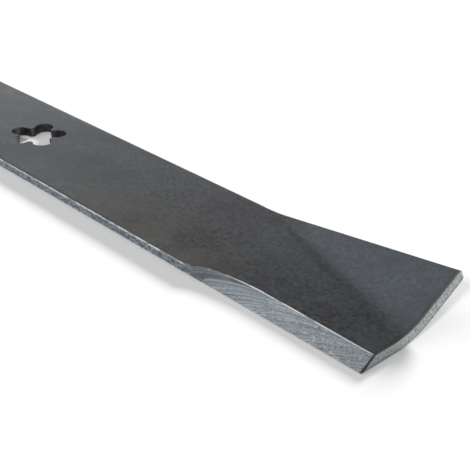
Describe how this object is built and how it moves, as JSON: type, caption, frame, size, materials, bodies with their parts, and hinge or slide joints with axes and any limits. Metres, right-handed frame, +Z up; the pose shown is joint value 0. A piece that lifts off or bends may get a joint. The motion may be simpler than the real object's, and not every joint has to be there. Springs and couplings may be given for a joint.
{
  "type": "rotary mower blade",
  "caption": "Flat steel rotary mower blade with a star-shaped hub hole, ground bevels on the leading edges and turned-up air-lift sails at the tips.",
  "frame": {"origin": "hub centre, on the flat underside of the bar", "axes": "+X along the blade towards one tip, +Y across the bar towards that tip's sail, +Z up along the spindle, the way the sails turn up"},
  "size_m": [0.4704, 0.0586, 0.018],
  "materials": {
    "steel": "dark satin heat-treatment scale, with bare ground bevels and sheared ends"
  },
  "bodies": {
    "root": {"blade": "steel"}
  },
  "joints": []
}
